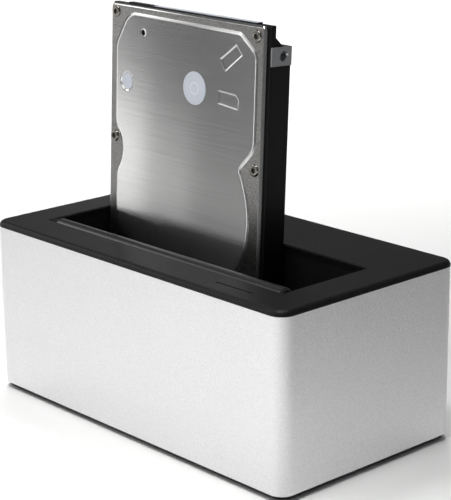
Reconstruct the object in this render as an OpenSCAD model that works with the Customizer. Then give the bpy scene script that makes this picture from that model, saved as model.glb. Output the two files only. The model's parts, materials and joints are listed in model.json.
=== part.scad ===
// Docking station for bare hard drives, with a 2.5-inch drive standing in its slot.
// Millimetres, +Z up, floor at z = 0, front face towards -Y.

/* [Sleeve] */
// Length of the aluminium sleeve, along the slot
body_l = 126; // [122:1:140]
// Depth of the sleeve, front to rear
body_w = 69; // [68:1:80]
// Height of the aluminium sleeve
sleeve_h = 50.3; // [48:0.1:60]
// Wall of the sleeve
sleeve_t = 2; // [1.6:0.1:2.4]
// Outside radius of the sleeve's upright corners
corner_r = 4.4; // [3.6:0.1:6]

/* [Base] */
// Edge of the base plate that shows below the sleeve
base_rim = 1.2; // [0.8:0.1:3]
// How far that edge stands back from the sleeve's face
base_inset = 1; // [0.6:0.1:1.4]
// Thickness of the base plate inside the sleeve
base_t = 2; // [1.6:0.1:2.6]
// Radius of a rubber foot
foot_r = 5; // [3:0.5:5.5]
// Depth of a foot's seat in the base
foot_seat = 0.8; // [0.5:0.1:1]
// How far a foot stands out below the base
foot_out = 0.8; // [0.5:0.1:2]
// Foot centre from the sleeve's outside faces
foot_inset = 12; // [11:0.5:16]
// Base screw centre from the sleeve's inside faces
post_inset = 3.8; // [3.6:0.1:4.6]
// Radius of the posts that take the base screws
post_r = 3; // [2.6:0.1:3.4]
// Shank radius of a base screw
base_screw_r = 1.2; // [1:0.1:1.4]
// Head radius of a base screw
base_head_r = 2.2; // [2:0.1:2.4]
// Head height of a base screw
base_head_h = 1.5; // [1.2:0.1:1.8]
// Depth a base screw reaches into its post
base_screw_bite = 8; // [5:0.5:12]

/* [Top cover] */
// Rise of the cover's top above the sleeve
cover_rise = 1.7; // [1.7:0.1:3]
// Radius of the cover's rounded outer edge
cover_edge = 1.6; // [0.5:0.1:1.6]
// How far the cover stands over the sleeve's face
cover_over = 0.1; // [0:0.05:0.3]
// Thickness of the cover's top
cover_t = 2.4; // [2.2:0.1:3.4]
// Depth of the locating skirt inside the sleeve
skirt_h = 4.5; // [3:0.5:8]
// Wall of the locating skirt
skirt_t = 1.4; // [1:0.1:1.8]
// Gap between pieces that slip into each other
fit = 0.15; // [0.1:0.05:0.2]

/* [Drive slot] */
// Length of the slot, for a 3.5-inch drive
slot_l = 102.4; // [102:0.2:104]
// Width of the slot, flap included
slot_w = 32.8; // [32:0.2:34]
// Share of the depth beside the slot that lies in front of it
slot_share = 0.3329; // [0.32:0.0001:0.36]
// Bevel round the slot's upper edge
slot_bevel = 0.35; // [0.2:0.05:0.6]
// Wall and floor of the drive well
well_t = 1.6; // [1.4:0.1:1.8]
// Gap between the drive's lower end and the well floor
floor_gap = 0.7; // [0.5:0.1:1]

/* [Dust flap] */
// Radius of the flap's hinge barrel
barrel_r = 2.5; // [2.2:0.1:2.6]
// Hinge axis below the cover's top
barrel_sink = 1.7; // [1.7:0.1:2]
// Hinge axis behind the slot's front edge
barrel_set = 1.9; // [1.8:0.1:2.4]
// Rounded ends of the barrel
barrel_round = 0.6; // [0.3:0.1:1]
// Room for the spring at the barrel's left end
spring_room = 3.4; // [3.2:0.1:5]
// Thickness of the flap's plate
flap_t = 1.5; // [1.2:0.1:1.6]
// Gap round the flap's edges
flap_gap = 0.5; // [0.4:0.05:0.8]
// Radius of the steel hinge pin
pin_r = 0.9; // [0.7:0.1:1]
// Gap between the pin and the barrel's bore
pin_gap = 0.15; // [0.1:0.05:0.2]
// Depth the hinge pin reaches into each end wall
pin_bite = 1; // [0.6:0.1:1.2]
// Wire radius of the flap spring
wire_r = 0.3; // [0.2:0.05:0.35]
// Turns of the flap spring
spring_turns = 4; // [3:1:4]
// Length of the spring's standing leg
spring_leg = 7; // [5:0.5:10]

/* [Activity light] */
// Length of the light slit
slit_l = 14; // [10:0.5:18]
// Width of the light slit
slit_w = 0.8; // [0.6:0.1:1.2]
// Middle of the slit from the sleeve's right face
slit_right = 24.2; // [24:0.2:32]
// Slit from the sleeve's front face
slit_setback = 5.95; // [5.5:0.05:6.5]
// Thickness of the light guide below the cover
guide_t = 2; // [1.4:0.1:2.4]
// Overlap of the guide's shoulder under the cover
guide_shoulder = 0.8; // [0.5:0.1:1.2]

/* [Board] */
// Thickness of the main board
board_t = 1.6; // [1.2:0.1:2]
// Gap between the main board's ends and the posts
board_gap = 1.2; // [0.8:0.1:2]
// Gap from the board's front edge to the sleeve
board_front_gap = 1; // [0.6:0.1:1.4]
// Board screws from the board's ends
boss_side = 3.8; // [3.6:0.1:4]
// Front board screws from the board's front edge
boss_front = 3.4; // [3.2:0.1:3.6]
// Rear board screws from the board's rear edge
boss_rear = 8; // [6:0.5:12]
// Radius of the bosses under the board
boss_r = 3; // [2.6:0.1:3.1]
// Shank radius of a board screw
board_screw_r = 1; // [0.8:0.1:1.2]
// Head radius of a board screw
board_head_r = 2; // [1.8:0.1:2.4]
// Head height of a board screw
board_head_h = 1.2; // [1:0.1:1.6]
// Depth a board screw reaches into its boss
board_screw_bite = 5; // [3:0.5:6]

/* [Board parts] */
// Gap between a capacitor and its neighbour
part_gap = 2; // [1:0.1:3]
// Side of the bridge chip
chip_side = 9; // [7:0.5:12]
// Height of the bridge chip
chip_h = 0.9; // [0.7:0.1:1.4]
// Length and width of the crystal's can
crystal_size = 3.2; // [2.5:0.1:5]
// Height of the crystal's can
crystal_h = 0.8; // [0.6:0.1:1.2]
// Radius of a capacitor can
cap_r = 3.15; // [2:0.05:3.5]
// Height of a capacitor can
cap_h = 7.7; // [5:0.1:11]
// Side of the choke
choke_side = 6.6; // [5:0.2:7]
// Height of the choke
choke_h = 3; // [2:0.1:4.5]
// Length of a light-emitting diode
led_l = 3.2; // [1.6:0.1:3.5]
// Width of a light-emitting diode
led_w = 1.6; // [0.8:0.1:2]
// Height of a light-emitting diode
led_h = 0.8; // [0.6:0.1:1.2]
// Distance between the two diodes
led_pitch = 7; // [5:0.5:9]

/* [Drive connector] */
// Depth the socket stands into the drive
sata_entry = 4.2; // [3.6:0.1:4.4]
// Height of the socket above the board
socket_h = 9.5; // [8:0.1:10]
// Length of the socket
socket_l = 40; // [39:0.2:40.4]
// Width of the socket
socket_w = 5.2; // [5:0.1:5.3]
// Signal tongue width
signal_l = 10.41; // [10:0.01:10.6]
// Power tongue width
power_l = 20.57; // [20:0.01:20.8]
// Space between the two tongues
tongue_space = 2.41; // [2.2:0.01:2.6]
// Tongue thickness
tongue_t = 1.23; // [1.1:0.01:1.3]
// Key leg of a tongue
key_l = 1.1; // [0.9:0.05:1.2]
// Room round a tongue inside the socket
tongue_room = 0.42; // [0.36:0.02:0.46]
// Room round the socket inside the drive's plug
plug_room = 0.45; // [0.4:0.05:0.5]
// Contact pitch
contact_pitch = 1.27; // [1.2:0.01:1.3]
// Contact width
contact_w = 0.7; // [0.5:0.05:0.8]
// Contact thickness
contact_t = 0.12; // [0.08:0.02:0.16]
// Signal contacts
signal_n = 7; // [7:1:7]
// Power contacts
power_n = 15; // [15:1:15]

/* [Rear panel] */
// Length of the window in the sleeve's rear wall
window_l = 74; // [70:1:80]
// Height of the window
window_h = 17.6; // [16.5:0.1:19]
// Lower edge of the window below the board's top
window_drop = 2.5; // [2:0.1:3.5]
// Corner radius of the window
window_r = 2; // [1:0.1:3]
// Thickness of the rear panel
panel_t = 2; // [1.6:0.1:2.2]
// Margin of the panel round the window
panel_margin = 4; // [3:0.5:5]
// How far the sockets stand out of the panel
port_out = 1; // [0.6:0.1:1.6]

/* [USB socket] */
// Middle of the socket from the middle of the dock
usb_x = -25; // [-27:0.5:-22]
// Width of the metal shell
usb_w = 12; // [11.6:0.1:12.4]
// Height of the metal shell
usb_h = 12.4; // [12.2:0.1:12.8]
// Depth of the metal shell
usb_d = 16; // [14:0.5:17]
// Width of the lower opening
usb_low_w = 8.45; // [8.2:0.05:8.6]
// Height of the lower opening
usb_low_h = 7.78; // [7.6:0.02:7.9]
// Bevel of the lower opening's upper corners
usb_bevel = 1.45; // [1.2:0.05:1.6]
// Width of the upper opening
usb_top_w = 5.6; // [5.2:0.1:5.6]
// Height of the upper opening
usb_top_h = 2.6; // [2.4:0.1:2.8]
// Floor below the lower opening
usb_floor = 1.1; // [0.9:0.1:1.2]
// Depth of the opening
usb_hollow = 13; // [11:0.5:13]
// Width of the plastic tongue
usb_tongue_w = 5.6; // [5.2:0.1:5.8]
// Thickness of the plastic tongue
usb_tongue_t = 3.2; // [2.9:0.1:3.4]
// Thickness of the upper tongue
usb_fin_t = 0.9; // [0.7:0.1:1.1]
// Length of the tongues
usb_tongue_l = 8.6; // [7:0.1:9]
// Thickness of the insulator behind the tongues
usb_block = 3; // [2:0.5:3]
// Contact pitch of the USB tongue
usb_pitch = 2.5; // [2.4:0.1:2.6]
// Width of a USB contact
usb_contact_w = 1; // [0.8:0.1:1.2]

/* [Power jack] */
// Middle of the jack from the middle of the dock
jack_x = -2; // [-4:0.5:2]
// Width of the jack body
jack_w = 9; // [8.6:0.1:9.4]
// Height of the jack body
jack_h = 11; // [10.6:0.1:11.4]
// Depth of the jack body
jack_d = 14.4; // [13:0.2:15]
// Bore radius for the plug
jack_bore_r = 3.1; // [2.9:0.05:3.3]
// Depth of the bore
jack_bore_d = 9.6; // [9:0.1:10]
// Bore axis above the board
jack_axis = 6.3; // [6:0.1:6.6]
// Radius of the centre pin
jack_pin_r = 1; // [0.9:0.05:1.1]
// Pin tip behind the jack's face
jack_pin_back = 1; // [0.6:0.1:1.6]
// Seat of the pin in the body
jack_pin_seat = 2; // [1:0.1:3]

/* [Power switch] */
// Middle of the switch from the middle of the dock
switch_x = 22; // [19:0.5:26]
// Switch axis above the board
switch_up = 6.3; // [6:0.1:6.8]
// Half length of the switch opening
switch_half_l = 6; // [6:0.1:6.6]
// Half height of the switch opening
switch_half_h = 4; // [3.6:0.1:4.2]
// Wall of the switch body
switch_wall = 0.7; // [0.6:0.1:0.9]
// Lip of the switch frame on the panel
switch_lip = 0.9; // [0.7:0.1:1.1]
// Thickness of that lip
switch_lip_t = 0.6; // [0.5:0.1:0.8]
// Depth of the switch body behind the panel's face
switch_d = 11; // [10:0.5:12]
// Depth of the hollow that the rocker tips in
switch_hollow = 8.4; // [8:0.1:9]
// Half length of the rocker
rocker_half = 5.3; // [5:0.1:5.4]
// Gap above and below the rocker
rocker_gap = 0.35; // [0.3:0.05:0.5]
// Height of the rocker's middle above its pivot
rocker_up = 2.9; // [2.6:0.1:3]
// Tip of the rocker to either side, in degrees
rocker_tip = 6; // [4:0.5:6]
// Radius of the rocker's pivot
pivot_r = 0.8; // [0.6:0.1:0.9]
// Length of the switch's solder tabs
tab_l = 3; // [2:0.5:3]

/* [Drive] */
// Width of the drive
drive_w = 69.85; // [69.6:0.01:70.1]
// Length of the drive
drive_l = 99.75; // [99.7:0.05:100.45]
// Thickness of the drive
drive_t = 9.5; // [9.3:0.1:9.5]
// Backward lean of the drive in the slot, in degrees
drive_lean = 2.87; // [2:0.01:3]
// Depth of the drive's lower end below the cover's top
drive_sink = 35; // [34.5:0.05:36]
// Gap between the drive and the slot's left end
drive_gap = 0.4; // [0.3:0.05:0.5]
// Gap between the drive and the slot's rear edge
drive_rear_gap = 0.65; // [0.5:0.05:0.9]
// Connector middle from the drive's middle
sata_offset = 4.8; // [4.6:0.01:5]
// Connector tongue behind the lid's rim
tongue_depth = 5.8; // [5.6:0.05:5.8]
// How far the casting's sides stand inside the full width
side_relief = 0.435; // [0.3:0.005:0.6]
// Mounting holes from the connector end
hole_low = 14; // [14:0.1:14.1]
// Spacing of the mounting holes along the drive
hole_pitch = 76.6; // [76.5:0.1:76.7]
// Side holes above the drive's rear face
hole_up = 3; // [2.8:0.1:3.1]
// Spacing of the rear holes across the drive
hole_span = 61.72; // [61.6:0.02:61.8]
// Radius of a mounting hole
hole_r = 1.25; // [1.2:0.05:1.3]
// Depth of a mounting hole
hole_d = 2.5; // [2.2:0.1:2.6]
// Countersink radius of a mounting hole
hole_sink_r = 1.65; // [1.5:0.05:1.8]
// Height of a side ear round its mounting hole
ear_h = 5.4; // [4.6:0.1:6]
// Depth of the thin edge at the drive's far end
far_edge = 3.2; // [2.8:0.1:3.6]
// Depth where the far end's slope meets the ears
far_knee = 6.1; // [5.5:0.1:6.5]
// Start of that slope below the far end
far_slope = 3.8; // [3:0.1:5]
// How far the end wall stands above the corners
wall_rise = 0.45; // [0.3:0.05:0.6]
// Left end of the end wall from the drive's middle
wall_left = 27.6; // [26:0.1:29]
// Right end of the end wall from the drive's middle
wall_right = 29; // [27:0.1:31]

/* [Drive lid] */
// Width of the lid
lid_w = 66.94; // [66:0.02:67.4]
// Lid edge from the drive's far end
lid_inset = 0.56; // [0.4:0.02:0.9]
// Lid edge from the drive's connector end
lid_foot = 9; // [8.8:0.1:11]
// Thickness of the lid's rim
lid_t = 1.3; // [1:0.1:1.4]
// Corner radius of the lid
lid_corner = 1.6; // [1.2:0.1:3]
// Radius of the lid's rolled edge
lid_edge = 0.9; // [0.5:0.05:1]
// Start of the lid's drawing below its upper edge
lid_lip = 0.5; // [0.4:0.05:0.7]
// Height of the raised panel above the rim
lid_raise = 0.31; // [0.2:0.01:0.4]
// Radius of the raised panel over the disk
panel_arc_r = 29.5; // [29:0.1:30]
// Disk centre below the start of the lid's drawing
disk_s = 57; // [56:0.1:58]
// Lower edge of the raised panel, in the same measure
panel_foot_s = 84; // [80:0.5:86]
// Radius of a lid screw's head
lid_head_r = 1.6; // [1.4:0.05:1.8]
// Height of a lid screw's head
lid_head_h = 0.5; // [0.4:0.05:0.6]
// Depth of the seat under a lid screw's head
lid_seat = 0.3; // [0.2:0.05:0.4]
// Shank radius of a lid screw
lid_screw_r = 0.8; // [0.6:0.05:0.9]
// Length of a lid screw below its head
lid_screw_l = 2.4; // [2:0.1:2.4]
// Radius of the large round seal
seal_r = 4.9; // [4:0.1:5.2]
// Radius of the small round seal
small_seal_r = 2.4; // [2:0.1:2.6]
// Radius of the small seal's recess
small_recess_r = 3.1; // [2.9:0.1:3.4]
// Depth of the small seal's recess
small_recess_d = 0.35; // [0.25:0.05:0.5]
// Thickness of a seal
seal_t = 0.12; // [0.08:0.02:0.2]
// Radius of the breather hole
breather_r = 0.6; // [0.5:0.05:0.8]
// Depth of the two pressed pads
pad_drop = 0.2; // [0.1:0.02:0.3]

/* [Drive rear] */
// Thickness of the drive's circuit board
pcb_t = 1; // [0.8:0.1:1.2]
// Half width of the drive's circuit board
pcb_half = 30; // [27:0.5:30.4]
// Upper edge of the drive's circuit board from the connector end
pcb_top = 52; // [48:0.5:56]
// Opening of the circuit board round the motor
motor_clear_r = 14; // [13:0.5:15]
// Radius of the motor cap
motor_r = 12; // [10:0.5:12.5]
// Thickness of the motor cap
motor_t = 0.6; // [0.4:0.1:0.8]
// Clear radius round a rear mounting hole
boss_clear_r = 3.4; // [3:0.1:3.6]
// Head radius of a circuit board screw
pcb_head_r = 1.6; // [1.4:0.1:1.8]
// Shank radius of a circuit board screw
pcb_screw_r = 0.7; // [0.5:0.1:0.9]
// Length of a circuit board screw below its head
pcb_screw_l = 3; // [2:0.5:3]
// Head height of a circuit board screw
pcb_head_h = 0.6; // [0.4:0.1:0.7]
// Wall of the plug's plastic body
plug_wall = 1; // [0.8:0.1:1]
// Height of the plug's plastic body
plug_h = 8; // [7:0.1:8]

/* [Hidden] */
$fn = 64;
// Extra length that lets a cut pass clean through
cut = 1;
base_z = foot_out;
sleeve_z = base_z + base_rim;
base_top = sleeve_z + base_t;
sleeve_top = sleeve_z + sleeve_h;
top_z = sleeve_top + cover_rise;
cover_z = top_z - cover_t;
in_l = body_l - 2 * sleeve_t;
in_w = body_w - 2 * sleeve_t;
in_r = corner_r - sleeve_t;
front_y = -body_w / 2;
post_x = in_l / 2 - post_inset;
post_y = in_w / 2 - post_inset;
foot_x = body_l / 2 - foot_inset;
foot_y = body_w / 2 - foot_inset;
base_seat_z = base_z + base_head_h + fit;

slot_front = front_y + slot_share * (body_w - slot_w);
slot_back = slot_front + slot_w;
slot_y = (slot_front + slot_back) / 2;
axis_y = slot_front + barrel_set;
axis_z = top_z - barrel_sink;
barrel_x = -slot_l / 2 + spring_room;
barrel_l = slot_l - spring_room - flap_gap;
flap_l = slot_l - 2 * flap_gap;
flap_reach = slot_back - axis_y - flap_gap;
spring_r = barrel_set - wire_r;
spring_pitch = 1.85 * wire_r;
spring_x = -slot_l / 2 + (spring_room - (spring_turns - 1) * spring_pitch) / 2;

drive_d = drive_t - lid_raise;
drive_x = -slot_l / 2 + drive_gap + max(drive_w, lid_w) / 2;
drive_z = top_z - drive_sink;
drive_y = slot_back - drive_rear_gap - drive_d / cos(drive_lean) - drive_sink * tan(drive_lean);
side_x = drive_w / 2 - side_relief;
lid_top = drive_l - lid_inset;
lid_l = lid_top - lid_foot;
disk_z = lid_top - lid_lip - disk_s;
ear_top = hole_low + hole_pitch + ear_h / 2;

sata_x = drive_x - sata_offset;
sata_y = drive_y + tongue_depth * cos(drive_lean) + sata_entry / 2 * sin(drive_lean);
board_top = drive_z + sata_entry - socket_h;
board_z = board_top - board_t;
floor_top = drive_z - drive_d * sin(drive_lean) - floor_gap;
well_z = floor_top - well_t;
panel_y = in_w / 2 - panel_t;
board_half = post_x - post_r - board_gap;
board_front = -in_w / 2 + board_front_gap;
board_back = panel_y - fit;
boss_x = board_half - boss_side;
boss_y = [board_front + boss_front, board_back - boss_rear];
port_y = in_w / 2 + port_out;
window_z = board_top - window_drop;
tongues_l = signal_l + tongue_space + power_l;
signal_x = -tongues_l / 2;
power_x = signal_x + signal_l + tongue_space;
tongue_slot = tongue_t + 2 * tongue_room;
slit_x = body_l / 2 - slit_right;
slit_y = front_y + slit_setback;
led_top = board_top + led_h;
jack_z = board_top + jack_axis;
switch_z = board_top + switch_up;
pivot_y = in_w / 2 + switch_lip_t - rocker_up;
plug_pocket_w = socket_w + 2 * plug_room;
plug_pocket_l = socket_l + 2 * plug_room;
plug_pocket_h = sata_entry + plug_room;

// Lid screws: across from the lid's middle, down from the start of its drawing
lid_side = lid_w / 2;
lid_screws_at = [
  [1.57 - lid_side, 2.1], [lid_side - 3.27, 2.6], [1.57 - lid_side, 40.5], [lid_side - 2.67, 40.8],
  [1.57 - lid_side, 84.5], [lid_side - 2.67, 84.5]
];
// Straight sides of the raised panel, in the same measure
panel_left = 1.62 - lid_side;
panel_right = lid_side - 2.37;
panel_outline = [
  [panel_left, 12.4], [panel_left + 5, 3.7], [panel_left + 7.45, 1.95], [panel_right - 8.5, 2.05],
  [panel_right - 6.14, 2.84], [panel_right - 1.4, 6.4], [panel_right, 8.2],
  [panel_right, disk_s - 15], [0, disk_s], [0, panel_foot_s], [panel_left + 6.85, panel_foot_s],
  [panel_left + 1.85, panel_foot_s - 5], [panel_left + 1.85, 51], [panel_left, 46]
];
// Screw bays that bite into the raised panel: centre and radius
panel_bays = [[-lid_side - 0.73, 42.6, 6.8], [lid_side - 0.47, 41.8, 8.2]];
slanted_pad = [[15.04, 10.65], [22.18, 5.47], [25.22, 8.75], [17.75, 14.53]];
level_pad = [[14.8, 19.6], [22.2, 20], [24.2, 20.7], [23.7, 24.8], [14.8, 24]];
seal_at = [4.83, 20.7];
small_seal_at = [-26.1, 22.8];
breather_at = [-18.8, 7.2];
pcb_screws_at = [[-26, 48], [26, 48], [-24, 22], [24, 22]];

// Rectangle with round corners
module round_rect(l, w, r) {
  square([l - 2 * r, w], center = true);
  square([l, w - 2 * r], center = true);
  for (x = [-1, 1], y = [-1, 1])
    translate([x * (l / 2 - r), y * (w / 2 - r)]) circle(r);
}

// Quarter of a disc, for a rounded edge
module quarter(e) {
  intersection() {
    circle(e);
    square(e);
  }
}

// Cross-section of a slab with both upper corners rounded by e
module soft_section(w, h, e) {
  translate([-w / 2, 0]) square([w, h - e]);
  translate([e - w / 2, 0]) square([w - 2 * e, h]);
  for (side = [0, 1])
    mirror([side, 0]) translate([w / 2 - e, h - e]) quarter(e);
}

// Half cross-section for the slab's turned corners
module soft_half(r, h, e) {
  square([r, h - e]);
  square([r - e, h]);
  translate([r - e, h - e]) quarter(e);
}

// Slab with round corners r and an upper edge rounded by e
module soft_slab(l, w, h, r, e) {
  for (x = [-1, 1], y = [-1, 1])
    translate([x * (l / 2 - r), y * (w / 2 - r), 0])
      rotate_extrude() soft_half(r, h, e);
  translate([r - l / 2, 0, 0]) rotate([90, 0, 90])
    linear_extrude(l - 2 * r) soft_section(w, h, e);
  translate([0, w / 2 - r, 0]) rotate([90, 0, 0])
    linear_extrude(w - 2 * r) soft_section(l, h, e);
}

// Round bar along X
module bar(r, l) {
  rotate([0, 90, 0]) cylinder(r = r, h = l);
}

// The four base screw places
module at_posts() {
  for (x = [-1, 1], y = [-1, 1])
    translate([x * post_x, y * post_y, 0]) children();
}

// The four board screw places
module at_bosses() {
  for (x = [-1, 1], y = boss_y)
    translate([x * boss_x, y, 0]) children();
}

// Pan-head screw pointing up, head at the bottom, cross recess in the head
module pan_screw(head_r, head_h, r, l) {
  difference() {
    union() {
      cylinder(r = head_r, h = head_h);
      cylinder(r = r, h = head_h + l);
    }
    for (turn = [0, 90])
      rotate(turn) cube([1.3 * head_r, head_r / 4, head_h], center = true);
  }
}

// The drive's own frame: lower end of the lid's rim plane, leaning back
module in_drive() {
  translate([drive_x, drive_y, drive_z]) rotate([-drive_lean, 0, 0]) children();
}

// Flat drawing on the drive's lid, thickness growing out of the lid's underside
module on_lid() {
  translate([0, lid_t, 0]) rotate([90, 0, 0]) children();
}

// Measures taken down from the start of the lid's drawing
module from_lid_top() {
  translate([0, lid_top - lid_lip]) mirror([0, 1]) children();
}

// Flat drawing on the drive's rear face, depth growing into the drive
module on_rear() {
  translate([0, drive_d, 0]) rotate([90, 0, 0]) children();
}

// Barrel room cut into the slot's front edge
module barrel_room() {
  translate([barrel_x - flap_gap, axis_y, axis_z])
    bar(barrel_r + flap_gap - fit, barrel_l + 2 * flap_gap);
}

module aluminium_sleeve() color("#c9cacc") difference() {
  translate([0, 0, sleeve_z]) linear_extrude(sleeve_h) difference() {
    round_rect(body_l, body_w, corner_r);
    round_rect(in_l, in_w, in_r);
  }
  translate([0, body_w / 2 + cut, window_z + window_h / 2]) rotate([90, 0, 0])
    linear_extrude(sleeve_t + 2 * cut) round_rect(window_l, window_h, window_r);
}

// Cross-section of the bevel over a slot of width w, opening upwards at 45 degrees
module bevel_section(w) {
  low = top_z - slot_bevel;
  far = w / 2 + slot_bevel + cut;
  polygon([[-w / 2, low], [w / 2, low], [far, top_z + cut], [-far, top_z + cut]]);
}

// Bevel round the slot's upper edge, mitred in its corners
module slot_edge() {
  translate([0, slot_y, 0]) intersection() {
    rotate([90, 0, 0]) linear_extrude(2 * slot_w, center = true) bevel_section(slot_l);
    rotate([90, 0, 90]) linear_extrude(2 * slot_l, center = true) bevel_section(slot_w);
  }
}

module top_cover() color("#38373a") difference() {
  union() {
    translate([0, 0, sleeve_top])
      soft_slab(
        body_l + 2 * cover_over, body_w + 2 * cover_over, cover_rise, corner_r + cover_over, cover_edge
      );
    translate([0, 0, cover_z])
      linear_extrude(sleeve_top - cover_z) round_rect(in_l - 2 * fit, in_w - 2 * fit, in_r - fit);
    translate([0, 0, cover_z - skirt_h]) linear_extrude(skirt_h) difference() {
      round_rect(in_l - 2 * fit, in_w - 2 * fit, in_r - fit);
      round_rect(in_l - 2 * fit - 2 * skirt_t, in_w - 2 * fit - 2 * skirt_t, in_r - fit - skirt_t / 2);
    }
    at_posts() translate([0, 0, base_top]) cylinder(r = post_r, h = cover_z - base_top);
  }
  translate([-slot_l / 2, slot_front, cover_z - cut]) cube([slot_l, slot_w, cover_t + 2 * cut]);
  slot_edge();
  translate([slit_x - slit_l / 2, slit_y - slit_w / 2, cover_z - cut])
    cube([slit_l, slit_w, cover_t + 2 * cut]);
  translate([-slot_l / 2 - pin_bite, axis_y, axis_z]) bar(pin_r, slot_l + 2 * pin_bite);
  barrel_room();
  at_posts() translate([0, 0, base_top - cut]) cylinder(r = base_screw_r, h = base_screw_bite + cut);
}

module drive_well() color("#242426") difference() {
  translate([-slot_l / 2 - well_t, slot_front - well_t, well_z])
    cube([slot_l + 2 * well_t, slot_w + 2 * well_t, cover_z - well_z]);
  translate([-slot_l / 2, slot_front, floor_top]) cube([slot_l, slot_w, cover_z - floor_top + cut]);
  translate([sata_x - socket_l / 2 - plug_room, sata_y - socket_w / 2 - plug_room, well_z - cut])
    cube([plug_pocket_l, plug_pocket_w, well_t + 2 * cut]);
  translate([-slot_l / 2 - pin_bite, axis_y, axis_z]) bar(pin_r, slot_l + 2 * pin_bite);
  barrel_room();
}

module base_plate() color("#29292b") difference() {
  union() {
    translate([0, 0, base_z]) linear_extrude(base_rim)
      round_rect(body_l - 2 * base_inset, body_w - 2 * base_inset, corner_r - base_inset);
    translate([0, 0, sleeve_z]) linear_extrude(base_t)
      round_rect(in_l - 2 * fit, in_w - 2 * fit, in_r - fit);
    at_bosses() translate([0, 0, sleeve_z]) cylinder(r = boss_r, h = board_z - sleeve_z);
  }
  for (x = [-1, 1], y = [-1, 1])
    translate([x * foot_x, y * foot_y, base_z - cut]) cylinder(r = foot_r + fit, h = foot_seat + cut);
  at_posts() translate([0, 0, base_z - cut]) {
    cylinder(r = base_head_r + 2 * fit, h = base_seat_z - base_z + cut);
    cylinder(r = base_screw_r + fit, h = base_rim + base_t + 2 * cut);
  }
  at_bosses() translate([0, 0, board_z - board_screw_bite])
    cylinder(r = board_screw_r, h = board_screw_bite + cut);
}

module base_screws() color("#8d8f92") at_posts()
  translate([0, 0, base_seat_z - base_head_h])
    pan_screw(base_head_r, base_head_h, base_screw_r, base_top - base_seat_z + base_screw_bite);

module rubber_feet() color("#1d1d1e")
  for (x = [-1, 1], y = [-1, 1])
    translate([x * foot_x, y * foot_y, 0]) cylinder(r = foot_r, h = foot_out + foot_seat);

module main_board() color("#1f5a36") difference() {
  translate([-board_half, board_front, board_z]) cube([2 * board_half, board_back - board_front, board_t]);
  at_bosses() translate([0, 0, board_z - cut]) cylinder(r = board_screw_r + fit, h = board_t + 2 * cut);
}

module board_screws() color("#a7a9ac") at_bosses()
  translate([0, 0, board_top + board_head_h]) mirror([0, 0, 1])
    pan_screw(board_head_r, board_head_h, board_screw_r, board_t + board_screw_bite);

// Block standing on the board, its middle at x, y
module board_block(x, y, size) {
  translate([x - size[0] / 2, y - size[1] / 2, board_top]) cube(size);
}

module bridge_chip() color("#2a2a2c")
  board_block(drive_x + drive_w / 3, slot_y, [chip_side, chip_side, chip_h]);

module crystal() color("#b9bbbe")
  board_block(drive_x + drive_w / 3 + 1.2 * chip_side, slot_y, [crystal_size, crystal_size, crystal_h]);

module capacitors() color("#3b4a63")
  for (x = [usb_x - usb_w / 2 - part_gap - cap_r, jack_x + jack_w / 2 + part_gap + cap_r])
    translate([x, panel_y - 3 * cap_r, board_top]) cylinder(r = cap_r, h = cap_h);

module choke() color("#4a4a4c")
  board_block((usb_x + jack_x) / 2 - fit, panel_y - 1.5 * choke_side, [choke_side, choke_side, choke_h]);

module status_leds() color("#e8e6da")
  for (side = [-1, 1])
    board_block(slit_x + side * led_pitch / 2, slit_y, [led_l, led_w, led_h]);

module light_guide() color("#5c6066") {
  translate([slit_x - slit_l / 2 + fit / 2, slit_y - slit_w / 2 + fit / 2, cover_z - cut])
    cube([slit_l - fit, slit_w - fit, cover_t + cut - fit]);
  translate([slit_x - slit_l / 2 - guide_shoulder, slit_y - guide_t / 2, led_top + fit])
    cube([slit_l + 2 * guide_shoulder, guide_t, cover_z - led_top - fit]);
}

// L-shaped outline of one tongue, grown by g; its key leg points to the front
module tongue_outline(l, g) {
  translate([-g, -tongue_t / 2 - g]) square([l + 2 * g, tongue_t + 2 * g]);
  translate([-g, -tongue_t / 2 - key_l - g]) square([tongue_t + 2 * g, key_l + tongue_t + 2 * g]);
}

// Contact rows of both tongues, side by side along X
module contact_rows() {
  for (i = [0 : signal_n - 1])
    translate([signal_x + signal_l / 2 + (i - (signal_n - 1) / 2) * contact_pitch, 0, 0]) children();
  for (i = [0 : power_n - 1])
    translate([power_x + power_l / 2 + (i - (power_n - 1) / 2) * contact_pitch, 0, 0]) children();
}

// One contact strip let into the rear wall of the socket's slots
module socket_strip() {
  translate([-contact_w / 2, tongue_slot / 2, socket_h - sata_entry - cut])
    cube([contact_w, contact_t, sata_entry]);
}

module sata_socket() color("#1c1c1d") translate([sata_x, sata_y, board_top]) difference() {
  translate([-socket_l / 2, -socket_w / 2, 0]) cube([socket_l, socket_w, socket_h]);
  translate([0, 0, socket_h - sata_entry - cut]) linear_extrude(sata_entry + 2 * cut) {
    translate([signal_x, 0]) tongue_outline(signal_l, tongue_room);
    translate([power_x, 0]) tongue_outline(power_l, tongue_room);
  }
  contact_rows() socket_strip();
}

module sata_contacts() color("#d4b25e") translate([sata_x, sata_y, board_top])
  contact_rows() socket_strip();

module rear_panel() color("#2c2c2e") difference() {
  translate([-window_l / 2 - panel_margin, panel_y, base_top])
    cube([window_l + 2 * panel_margin, panel_t, window_z + window_h + panel_margin - base_top]);
  translate([usb_x - usb_w / 2 - fit, panel_y - cut, board_top - fit])
    cube([usb_w + 2 * fit, panel_t + 2 * cut, usb_h + 2 * fit]);
  translate([jack_x - jack_w / 2 - fit, panel_y - cut, board_top - fit])
    cube([jack_w + 2 * fit, panel_t + 2 * cut, jack_h + 2 * fit]);
  translate([switch_x - switch_half_l - switch_wall, panel_y - cut, switch_z - switch_half_h - switch_wall])
    cube([2 * (switch_half_l + switch_wall), panel_t + 2 * cut, 2 * (switch_half_h + switch_wall)]);
}

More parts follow.
